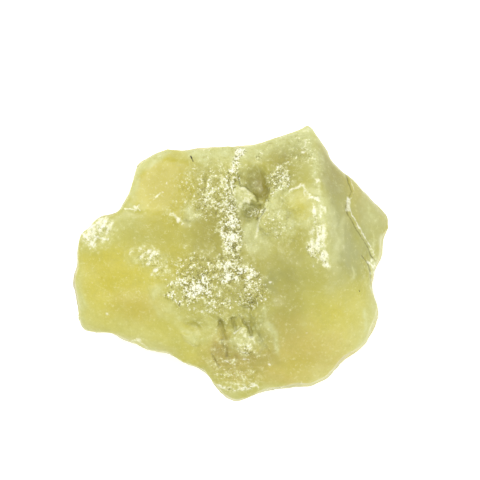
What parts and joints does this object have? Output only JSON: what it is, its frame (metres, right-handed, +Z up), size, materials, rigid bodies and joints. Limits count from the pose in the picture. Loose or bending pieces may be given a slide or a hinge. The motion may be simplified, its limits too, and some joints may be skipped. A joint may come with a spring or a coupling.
{
  "type": "lemon jade specimen",
  "caption": "Rough broken lemon jade stone with a ridge, a dark hollow and sugary white patches, lying on a flat natural break.",
  "frame": {"origin": "middle of the stone's box, on the surface that it lies on", "axes": "+X along the longest way across, towards the pointed right end; +Y towards the peak of the ridge; +Z up"},
  "size_m": [0.048, 0.0428, 0.0255],
  "materials": {
    "lemon_jade": "waxy, slightly translucent yellow-green stone with white frosted and sugary patches"
  },
  "bodies": {
    "root": {"lemon_jade_stone": "lemon_jade"}
  },
  "joints": []
}
